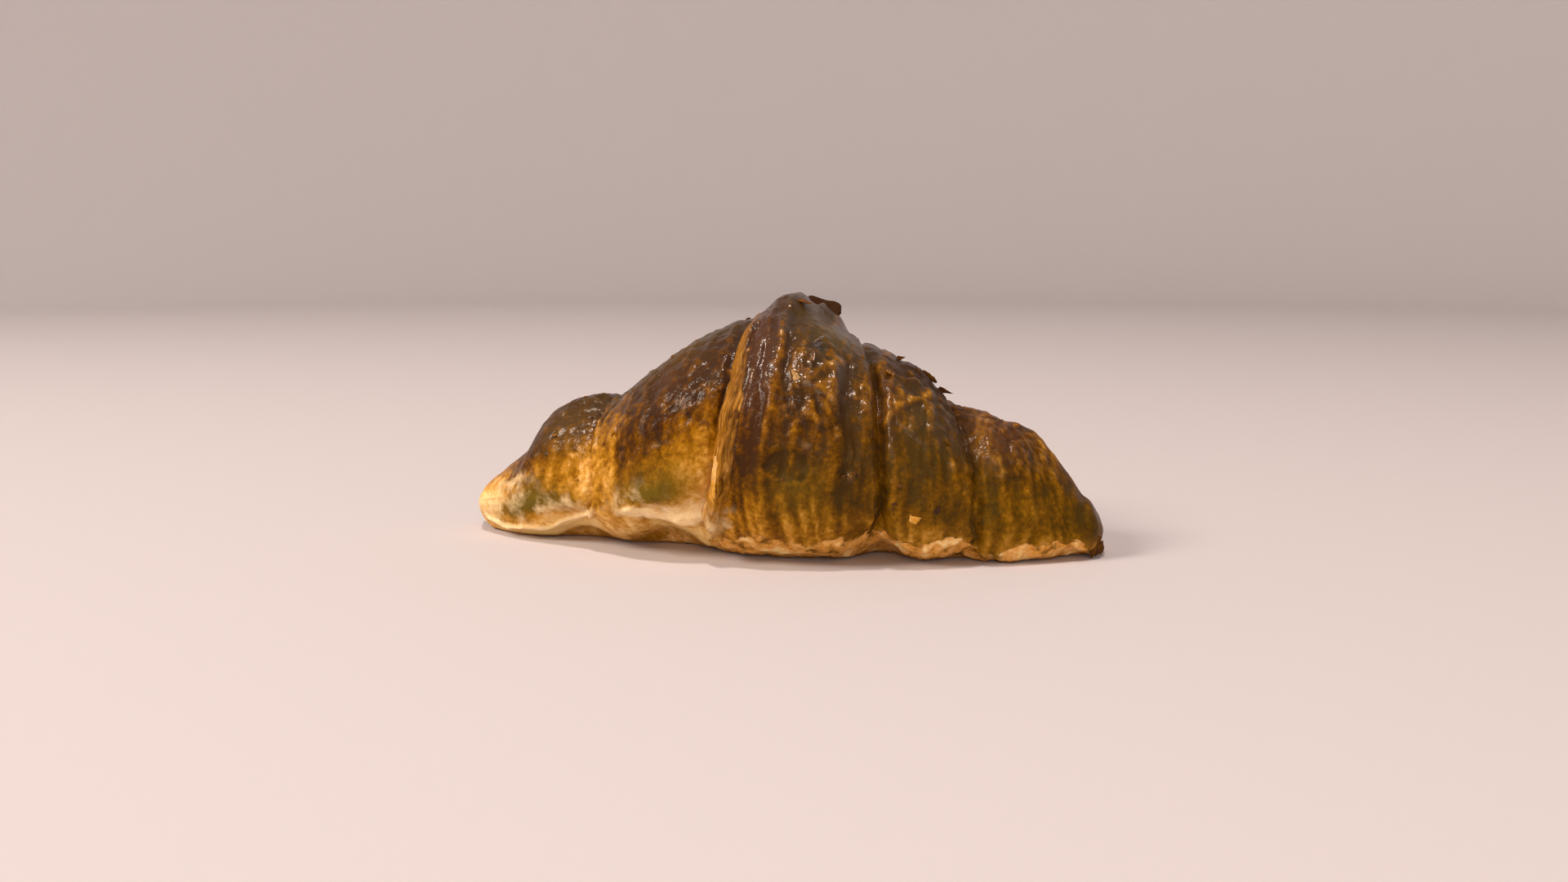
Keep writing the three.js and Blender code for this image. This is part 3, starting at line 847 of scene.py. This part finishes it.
crustFinish = {
    # screen colours at shares from 0 to 1: of the bake from pale dough to dark brown, or of a noise
    "bakeColours": [
        (0.0, 238, 200, 128),
        (0.2, 214, 158, 76),
        (0.38, 180, 124, 34),
        (0.54, 144, 94, 8),
        (0.7, 110, 66, 2),
        (0.85, 78, 44, 2),
        (1.0, 52, 29, 14),
    ],
    "cream": (fromScreen(228, 178, 112), fromScreen(255, 236, 190)),
    "bareColours": [
        (0.34, 124, 88, 36),
        (0.45, 216, 152, 66),
        (0.56, 236, 180, 104),
        (0.68, 255, 228, 160),
    ],
    "underColours": [(0.3, 130, 76, 32), (0.5, 182, 122, 62), (0.75, 214, 158, 96)],
    "cutColours": [(0.3, 92, 56, 14), (0.5, 148, 98, 32), (0.7, 202, 148, 72)],
    # a painted olive reflection of the surroundings, mixed over the brown by clouds
    "olive": fromScreen(102, 82, 20), "oliveShare": 0.5,
    # a painted plum-grey sheen: a darker brown mixed in by mottle where the glaze shines
    "plum": fromScreen(80, 44, 22), "plumShare": 0.6,
    # noise over the crust: scale and detail
    "noises": {"clouds": (42, 4), "mottle": (130, 4), "speckle": (420, 4), "grain": (950, 2),
               "fibres": (260, 5), "crumb": (240, 5), "pores": (420, 3)},
    "noiseRoughness": 0.6,
    # noise on the roll map: cells along and round it, and detail
    "lines": {"roundStreak": ((48, 6, 1), 2.5), "lengthStreak": ((9, 45, 1), 3), "plies": ((190, 14, 1), 3)},
    # how far each shifts the bake both ways
    "swings": {"clouds": 0.16, "mottle": 0.3, "speckle": 0.3, "grain": 0.24, "streak": 0.17},
    # cream shows by fibres * creamFibres + cream + creamLevel, the cut by the same sum of its own
    "creamFibres": 1.6, "creamLevel": -1.8, "creamGain": 4,
    "cutFibres": 1.5, "cutLevel": -0.85,
    "roughness": 0.42, "roughnessSpread": 0.25,
    "dullRoughness": 0.3, "cutDull": 0.8,
    "coat": 0.8, "coatRoughness": 0.2,
    "sheen": 0.04, "sheenTint": (1, 0.8, 0.5, 1),  # of the crust below its glaze
    # shares of the bump beside the pores, and the mask that holds each back
    "bumps": [("streak", 0.8, None), ("grain", 0.3, None), ("crumb", 2.5, "bare"), ("plies", 1.5, "cut")],
    "bumpStrength": 0.8, "bumpDistance": 0.00045,
}


# brown depends on bake plus clouds, specks and streaks, with a painted olive reflection and a painted plum
# sheen mixed in; cream, cut faces, bare dough and the underside lie over it by their masks; the egg glaze is
# a coat that the bare parts don't have
def crustMaterial():
    finish = crustFinish
    material = bpy.data.materials.new("glazed_crust")
    material.use_nodes = True
    tree = material.node_tree
    shader = tree.nodes["Principled BSDF"]
    times = lambda a, b: mathNode(tree, "MULTIPLY", a, b)
    plus = lambda a, b: mathNode(tree, "ADD", a, b)
    timesPlus = lambda a, b, c: mathNode(tree, "MULTIPLY_ADD", a, b, c)
    larger = lambda a, b: mathNode(tree, "MAXIMUM", a, b)
    noise = lambda where, scale, detail: addNode(
        tree, "ShaderNodeTexNoise", None, Vector=where, Scale=scale, Detail=detail,
        Roughness=finish["noiseRoughness"]).outputs["Fac"]
    place = addNode(tree, "ShaderNodeTexCoord").outputs["Object"]
    rollPlace = addNode(tree, "ShaderNodeUVMap", {"uv_map": "rollMap"}).outputs["UV"]
    keys = ("bake", "cream", "olive", "plum", "gloss", "cut", "streaky", "bare", "under", "lengthwise")
    read = lambda key: addNode(tree, "ShaderNodeAttribute", {"attribute_name": key}).outputs["Fac"]
    mask = {key: read(key) for key in keys}
    look = {key: noise(place, scale, detail) for key, (scale, detail) in finish["noises"].items()}
    for key, (cells, detail) in finish["lines"].items():
        stretched = addNode(tree, "ShaderNodeMapping", None, Vector=rollPlace, Scale=cells).outputs[0]
        look[key] = noise(stretched, 1, detail)
    look["streak"] = addNode(tree, "ShaderNodeMix", {"data_type": "FLOAT"}, A=look["roundStreak"],
                             B=look["lengthStreak"], Factor=mask["lengthwise"]).outputs["Result"]
    amount = mask["bake"]
    for key, share in finish["swings"].items():
        swing = timesPlus(look[key], share * 2, -share)
        if key == "streak":
            swing = times(swing, mask["streaky"])
        amount = plus(amount, swing)
    colour = rampOf(tree, amount, finish["bakeColours"])
    # mixes in the painted olive reflection and the painted plum sheen
    for key, source in (("olive", "clouds"), ("plum", "mottle")):
        share = times(times(mask[key], look[source]), finish[key + "Share"] * 2)
        colour = mixColours(tree, share, colour, finish[key])
    fibres = plus(look["mottle"], look["fibres"])
    paleShare = timesPlus(fibres, finish["creamFibres"], plus(mask["cream"], finish["creamLevel"]))
    atMost = mathNode(tree, "MINIMUM", times(mask["cream"], finish["creamGain"]), 1)
    pale = mixColours(tree, look["speckle"], *finish["cream"])
    colour = mixColours(tree, times(larger(paleShare, 0), atMost), colour, pale)
    torn = timesPlus(fibres, finish["cutFibres"], finish["cutLevel"])
    for share, source, key in ((times(mask["cut"], torn), "plies", "cutColours"),
                               (mask["bare"], "crumb", "bareColours"),
                               (mask["under"], "mottle", "underColours")):
        colour = mixColours(tree, share, colour, rampOf(tree, look[source], finish[key]))
    dull = larger(larger(mask["bare"], mask["under"]), times(mask["cut"], finish["cutDull"]))
    spread = finish["roughnessSpread"]
    roughness = timesPlus(look["speckle"], spread, finish["roughness"] - spread / 2)
    glaze = times(mathNode(tree, "SUBTRACT", 1, dull), mask["gloss"])
    heights = look["pores"]
    for key, share, where in finish["bumps"]:
        source = times(look[key], mask[where]) if where else look[key]
        heights = timesPlus(source, share, heights)
    bump = addNode(tree, "ShaderNodeBump", None, Height=heights, Strength=finish["bumpStrength"],
                   Distance=finish["bumpDistance"]).outputs["Normal"]
    inputs = {"Base Color": colour, "Roughness": timesPlus(dull, finish["dullRoughness"], roughness),
              "Coat Weight": times(glaze, finish["coat"]), "Coat Roughness": finish["coatRoughness"],
              "Specular IOR Level": finish["sheen"], "Specular Tint": finish["sheenTint"],
              "Normal": bump, "Coat Normal": bump}
    for key, value in inputs.items():
        feed(tree, shader.inputs[key], value)
    return material


glazedCrust = crustMaterial()
crust, surface = buildCrust(glazedCrust)

print("croissant: flakes")


# a flake of crust: its root's place, heading (degrees, 0 to the right end, 90 down the front),
# length and width (mm), how steeply it leaves the crust, how far it curls on, how pointed its end is;
# it may lean to its side by tilt, dip its end by dive, and have edges fretted by another share
def flakeOf(at, turn, heading, length, width, lift, curl, tip, **own):
    return {"at": at, "turn": turn, "heading": heading, "length": length, "width": width,
            "lift": lift, "curl": curl, "tip": tip, **own}


flakes = {
    "named": [
        flakeOf(13.2, 36, 195, 4.5, 5, 10, 150, 0.4, bake=0.85, gloss=3),
        flakeOf(13.6, 45, 160, 4.5, 5, 10, 130, 0.4, bake=0.85, gloss=3),
        flakeOf(9.6, 56, 215, 3.4, 1.8, 25, 40, 0.7, bake=0.3, cream=0.7, gloss=0.8),
        flakeOf(12.5, 52, 185, 4, 2.6, 14, 60, 0.6, bake=0.55, gloss=1.6),
        flakeOf(16, 40, 250, 3, 2.6, 14, 40, 0.4, bake=0.68, gloss=0.8),
        flakeOf(-9, 82, 97, 12, 2.6, 8, -12, 0.5, bake=0.36, cream=0.3, gloss=0.2),
        flakeOf(29.5, -2, 10, 2.4, 1.6, 0, 0, 1, tilt=80, dive=-44, bake=0.95, fret=0.1),
        flakeOf(36, 2, 0, 5, 1.6, 2, 0, 0.3, tilt=75, bake=0.95, fret=0.3),
        flakeOf(40, 5, 0, 4.2, 1.8, 0, 0, 1, tilt=80, dive=-20, bake=0.95, fret=0.1),
        flakeOf(-60, 2, 180, 3.5, 6, 16, 20, 0.3, bake=0.75),
        # the flap behind the peak: a bake past 1 paints it near-black, painted shade behind the ridge
        flakeOf(3, -17, 0, 10.5, 5.6, 0, 0, 0.1, tilt=85, dive=21, bake=1.3, fret=0.1),
        flakeOf(4.5, 7, 20, 4.5, 3.5, 6, 10, 0.6, bake=0.75),
        flakeOf(78.5, 112, 20, 6, 6, 8, 0, 0.7, bake=0.85),
        flakeOf(36.5, 99, 100, 2.6, 3, 16, 10, 0.3, bake=0.3, cream=0.15, fret=0.15),
    ],
    "looseCount": 90, "seed": 71,  # small ones scattered all over, each value from low to high
    "loose": flakeOf((-60, 72), (-110, 105), (0, 360), (1.2, 3.2), (0.8, 2.4), (2, 14), (0, 50), (0.2, 0.9),
                     bake=(0.6, 0.95)),
    "looseGloss": 0.4,
    "thickness": 0.35, "cup": 0.24,  # the edges rise by a quarter of cup for each mm of width
    "sunk": 0.5,  # each starts this far (mm) inside the crust
    "fret": 0.35, "fretCells": 7, "fretRows": (2, 9, 16),  # noise rows for the two edges, of so many
    "rows": 16, "columns": 14,
    "radius": 28, "span": 4,  # mm that turns degrees into distance; rows and columns for a direction
    "mapStep": 0.13, "mapSize": 0.03, "cellMargin": 0.06,
}


# place and directions on the finished crust: along the roll, round it to the front, and outwards
def spotOn(at, turn):
    gap = (surface["s"] - at) ** 2 + ((surface["turn"] - np.radians(turn)) * flakes["radius"]) ** 2
    row, column = np.unravel_index(np.argmin(gap), gap.shape)
    points, span = surface["points"], flakes["span"]
    row = np.clip(row, span, len(points) - 1 - span)
    columnCount = points.shape[1]
    along = points[row + span, column] - points[row - span, column]
    order = np.sign(surface["turn"][0, (column + 1) % columnCount] - surface["turn"][0, column - 1]) or 1
    forwards = (points[row, (column + span) % columnCount] - points[row, column - span]) * order
    along = along / np.linalg.norm(along)
    outward = np.cross(forwards, along)
    outward = outward / np.linalg.norm(outward)
    return points[row, column], along, np.cross(along, outward), outward


# two directions turned together by an angle, the first towards the second
def turned(first, second, angle):
    return np.cos(angle) * first + np.sin(angle) * second, np.cos(angle) * second - np.sin(angle) * first


# a flat oval section swept along an arc that leaves the crust: its angle grows evenly from lift
# to lift + curl, its width narrows to the tip, both ends are rounded off, and noise frets its edges
def flakeGrid(flake, seed):
    root, along, down, outward = spotOn(flake["at"], flake["turn"])
    heading = np.radians(flake["heading"])
    ahead = np.cos(heading) * along + np.sin(heading) * down
    side = np.cross(outward, ahead)
    ahead, outward = turned(ahead, outward, -np.radians(flake.get("dive", 0)))
    side, outward = turned(side, outward, np.radians(flake.get("tilt", 0)))
    t = np.linspace(0, 1, flakes["rows"])
    angle = np.radians(flake["lift"] + flake["curl"] * t)
    step = flake["length"] / (len(t) - 1)
    forward = np.cumsum(np.cos(angle)) * step
    upward = np.cumsum(np.sin(angle)) * step - flakes["sunk"]
    spine = root + forward[:, None] * ahead + upward[:, None] * outward
    face = np.cos(angle)[:, None] * outward - np.sin(angle)[:, None] * ahead
    lap = np.linspace(0, fullTurn, flakes["columns"], endpoint=False)
    taper = (1 - flake["tip"] * t) * np.sqrt(1 - (2 * t - 1) ** 8)
    rightRow, leftRow, wrap = flakes["fretRows"]
    edgeRow = np.where(np.cos(lap) > 0, rightRow, leftRow)
    fret = sheetNoise(t[:, None] * flakes["fretCells"], edgeRow, wrap, seed)
    half = flake["width"] / 2 * taper[:, None] * (1 + flake.get("fret", flakes["fret"]) * fret)
    across = np.cos(lap) * half
    thick = np.sin(lap) * flakes["thickness"] / 2 * np.sqrt(1 - (2 * t - 1) ** 4)[:, None]
    thick += flakes["cup"] * across ** 2 / max(flake["width"], 1)
    return spine[:, None] + across[..., None] * side + thick[..., None] * face[:, None]


# all the flakes in one mesh: the named ones, then loose ones drawn from their seed
def buildFlakes(material):
    rng = np.random.default_rng(flakes["seed"])
    chosen = list(flakes["named"])
    for n in range(flakes["looseCount"]):
        drawnFlake = {key: rng.uniform(low, high) for key, (low, high) in flakes["loose"].items()}
        chosen.append({**drawnFlake, "gloss": flakes["looseGloss"]})
    grids = np.stack([flakeGrid(flake, flakes["seed"] + n) for n, flake in enumerate(chosen)])
    attributes = {}
    for key in ("bake", "cream", "gloss"):
        own = np.array([flake.get(key, 0) for flake in chosen], float)
        attributes[key] = np.broadcast_to(own[:, None, None], grids.shape[:3])
    size = int(np.ceil(np.sqrt(len(chosen))))
    rows, columns = grids.shape[1:3]
    step, patch, margin = flakes["mapStep"], flakes["mapSize"], flakes["cellMargin"]
    inCell = lambda n, share: (n + margin + (1 - 2 * margin) * share) / size
    maps = {
        "rollMap": lambda n, r, c: np.stack([n * step + r / rows * patch, c / columns * patch], -1),
        "OFBake": lambda n, r, c: np.stack(
            [inCell(n % size, r / (rows - 1)), inCell(n // size, c / columns)], -1),
    }
    return newPiece("croissant_flakes", shellMesh("croissant_flakes", grids, attributes, maps), material)


looseFlakes = buildFlakes(glazedCrust)

for piece in (crust, looseFlakes):
    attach(piece, "root")
    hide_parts("croissant")

print("studio: floor, lights and camera")

studio = {
    "floorRadius": 1.6, "curve": 0.8, "wallHeight": 0.9,
    "flatShare": 0.4, "curveShare": 0.45,  # of the rings; the wall has the rest
    "rings": 60, "spokes": 96,
    "floorColour": (0.6, 0.56, 0.58, 1), "floorRoughness": 0.8,
    "world": 0.26, "worldColour": (1, 0.93, 0.84, 1),
    "lights": [  # azimuth from the front (degrees), elevation, distance, size (m), power (W), colour
        {"name": "keyLight", "azimuth": -52, "elevation": 36, "distance": 2.2, "size": 0.8, "power": 38,
         "colour": (1.0, 0.9, 0.78)},
        {"name": "topLight", "azimuth": -8, "elevation": 76, "distance": 2.2, "size": 0.28, "power": 28,
         "colour": (1.0, 0.82, 0.72)},
        {"name": "lowLight", "azimuth": 14, "elevation": 9, "distance": 2.2, "size": 1.4, "power": 16,
         "colour": (1.0, 0.93, 0.8)},
    ],
}


# a plain floor that curves up into a round wall: radius and height of the profile turned round Z
def buildFloor():
    across = np.linspace(0, 1, studio["rings"])
    flatEnd, curveEnd = studio["flatShare"], studio["flatShare"] + studio["curveShare"]
    angle = np.clip((across - flatEnd) / studio["curveShare"], 0, 1) * np.pi / 2
    radius = studio["floorRadius"] * np.minimum(across / flatEnd, 1) + studio["curve"] * np.sin(angle)
    height = studio["curve"] * (1 - np.cos(angle))
    height += np.clip((across - curveEnd) / (1 - curveEnd), 0, 1) * studio["wallHeight"]
    lap = np.linspace(0, fullTurn, studio["spokes"], endpoint=False)
    points = np.stack([radius[:, None] * np.cos(lap), radius[:, None] * np.sin(lap),
                       height[:, None] + 0 * lap], -1)
    rows, columns = points.shape[:2]
    quads = ringFaces(np.arange(rows * columns).reshape(rows, columns))
    mesh = bpy.data.meshes.new("studio_floor")
    mesh.from_pydata(points.reshape(-1, 3).tolist(), [], quads.tolist())
    mesh.polygons.foreach_set("use_smooth", np.ones(len(quads), bool))
    material = bpy.data.materials.new("pale_floor")
    material.use_nodes = True
    shader = material.node_tree.nodes["Principled BSDF"]
    shader.inputs["Base Color"].default_value = studio["floorColour"]
    shader.inputs["Roughness"].default_value = studio["floorRoughness"]
    floor = newPiece("studio_floor", mesh, material)
    floor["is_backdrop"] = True


# direction from the middle: azimuth from the front towards the right end, elevation above the floor
def aimed(azimuth, elevation):
    a, e = np.radians(azimuth), np.radians(elevation)
    return Vector((np.sin(a) * np.cos(e), -np.cos(a) * np.cos(e), np.sin(e)))


# three round lights aimed at the middle, and the room's own soft light
def addLights():
    middle = (cadBox[0] + cadBox[1]) / 2
    for setting in studio["lights"]:
        data = bpy.data.lights.new(setting["name"], "AREA")
        data.shape, data.size = "DISK", setting["size"]
        data.energy, data.color = setting["power"], setting["colour"]
        light = bpy.data.objects.new(setting["name"], data)
        away = aimed(setting["azimuth"], setting["elevation"])
        light.location = middle + away * setting["distance"]
        light.rotation_euler = away.to_track_quat("Z", "Y").to_euler()
        bpy.context.scene.collection.objects.link(light)
    world = bpy.data.worlds.new("soft_room")
    world.use_nodes = True
    background = world.node_tree.nodes["Background"]
    background.inputs["Color"].default_value = studio["worldColour"]
    background.inputs["Strength"].default_value = studio["world"]
    bpy.context.scene.world = world


view = {
    "azimuth": 11, "elevation": 7.5, "distance": 0.392,  # degrees, metres
    "aimX": 0.5, "aimHeight": 27,  # mm
    "lens": 35, "clip": (0.01, 10),
}


# the camera looks along aimed() at a point over the croissant's middle
def addCamera():
    data = bpy.data.cameras.new("viewCamera")
    data.lens = view["lens"]
    data.clip_start, data.clip_end = view["clip"]
    camera = bpy.data.objects.new("viewCamera", data)
    shift = surface["shift"]
    target = Vector(((view["aimX"] + shift[0]) * mm, shift[1] * mm, view["aimHeight"] * mm))
    away = aimed(view["azimuth"], view["elevation"])
    camera.location = target + away * view["distance"]
    camera.rotation_euler = away.to_track_quat("Z", "Y").to_euler()
    bpy.context.scene.collection.objects.link(camera)
    bpy.context.scene.camera = camera


buildFloor()
addLights()
addCamera()
bpy.context.scene.view_settings.view_transform = "Standard"

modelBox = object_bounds()
boxes = {"cad": [list(corner) for corner in cadBox], "model": [list(corner) for corner in modelBox]}
print("boxes", boxes)
